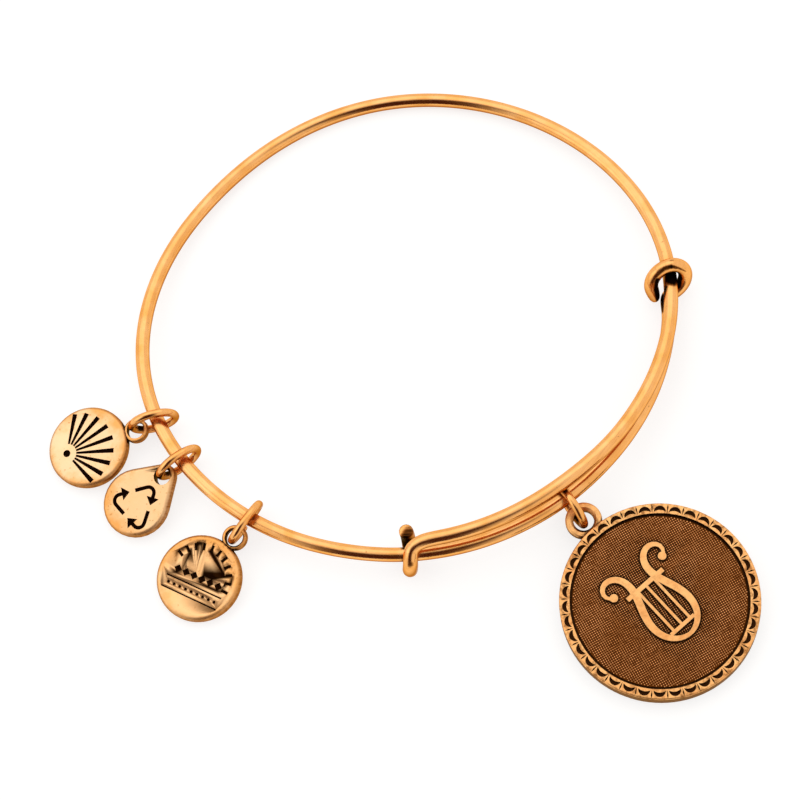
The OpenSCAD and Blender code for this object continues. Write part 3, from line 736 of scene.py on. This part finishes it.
shade_by_nearness(bangle, [bangle, *rings], WIRE_REACH)
for ring in rings:
    shade_by_nearness(ring, [bangle, pendant, *rings, *charms], RING_REACH)
for hung in (pendant, *charms):
    shade_by_nearness(hung, [hung, *rings], HUNG_REACH)

# The table: a plain white sheet of paper under the bangle. It glows as the paper of a light
# tent does, so that hardly a shadow shows on it.
TABLE_SIZE = 6.0
TABLE_GAP = 0.05 * MM
deselect()
bpy.ops.mesh.primitive_plane_add(size=TABLE_SIZE, location=(0, 0, -TABLE_GAP))
table = bpy.context.object
table.name = table.data.name = "white_table"
sheet = Nodes("white_sheet")
for socket, value in {
    "Base Color": (0.35, 0.35, 0.35, 1),
    "Roughness": 0.9,
    "Specular IOR Level": 0.0,
    "Emission Color": (1, 1, 1, 1),
    "Emission Strength": 0.76,
}.items():
    sheet.shader.inputs[socket].default_value = value
table.data.materials.append(sheet.material)

# The studio: bright walls all round but for a dark strip where the photographer stood, one
# broad soft light above and behind, and a smaller one from the left.
DARK_WAY = math.radians(-115)
WALL_WHITE = (1.0, 0.96, 0.9)
STRIP_BROWN = (0.05, 0.008, 0.0005)
WALL_BRIGHTNESS = 0.98
world = bpy.data.worlds.new("studio")
bpy.context.scene.world = world
studio = Nodes("studio", world)
# In a world, Generated is the direction that is looked in
looked = studio.new("TexCoord").outputs["Generated"]
across = studio.along(looked, (-math.sin(DARK_WAY), math.cos(DARK_WAY), 0))
towards = studio.along(looked, (math.cos(DARK_WAY), math.sin(DARK_WAY), 0))
dark = studio.times(
    studio.ramp(studio.math("ABSOLUTE", across), (0.3, 1.0), (0.55, 0.0)),
    studio.ramp(towards, (0.1, 0.0), (0.36, 1.0)),
)
studio.put(studio.blend(dark, WALL_WHITE, STRIP_BROWN), studio.shader.inputs["Color"])
studio.shader.inputs["Strength"].default_value = WALL_BRIGHTNESS


def soft_light(name, place, size, brightness):
    """A soft box that looks at the bangle; its brightness is that of its own surface."""
    deselect()
    bpy.ops.object.light_add(type="AREA", location=place)
    light = bpy.context.object
    light.name = light.data.name = name
    light.data.shape = "RECTANGLE"
    light.data.size, light.data.size_y = size
    light.data.energy = brightness * math.pi * size[0] * size[1]
    light.rotation_euler = (-Vector(place)).to_track_quat("-Z", "Y").to_euler()


soft_light("broad_light", place=(0.0, 0.3, 0.5), size=(0.8, 0.5), brightness=0.42)
soft_light("left_light", place=(-0.5, 0.02, 0.36), size=(0.4, 0.36), brightness=0.5)

# The camera of the photograph: it looks down steeply and is rolled, so that the bangle shows
# turned on the table. The target, near the oval's middle, shows at its own place in the picture.
ELEVATION = math.radians(68)
ROLL = math.radians(18)
DISTANCE = 0.27
FOCAL_PX = 2349.0
PICTURE_PX = 800.0
SENSOR_MM = 36.0
TARGET = Vector((0.11, -1.18, 2.0)) * MM
TARGET_PX = (407.0, 326.4)
away = Vector((0, -math.cos(ELEVATION), math.sin(ELEVATION)))
sideways, rising = Vector((1, 0, 0)), Vector((0, math.sin(ELEVATION), math.cos(ELEVATION)))
right = sideways * math.cos(ROLL) - rising * math.sin(ROLL)
up = sideways * math.sin(ROLL) + rising * math.cos(ROLL)
axes = Matrix((right, up, away)).transposed()
half = PICTURE_PX / 2
seen = Vector(((TARGET_PX[0] - half) / FOCAL_PX, (half - TARGET_PX[1]) / FOCAL_PX, -1))
axes = (axes @ seen.normalized()).rotation_difference(-away).to_matrix() @ axes
deselect()
bpy.ops.object.camera_add(location=TARGET + away * DISTANCE)
camera = bpy.context.object
camera.rotation_euler = axes.to_euler()
camera.data.sensor_width = SENSOR_MM
camera.data.lens = SENSOR_MM * FOCAL_PX / PICTURE_PX
camera.data.clip_start, camera.data.clip_end = 0.01, 10.0
bpy.context.scene.camera = camera
bpy.context.scene.view_settings.view_transform = "Standard"
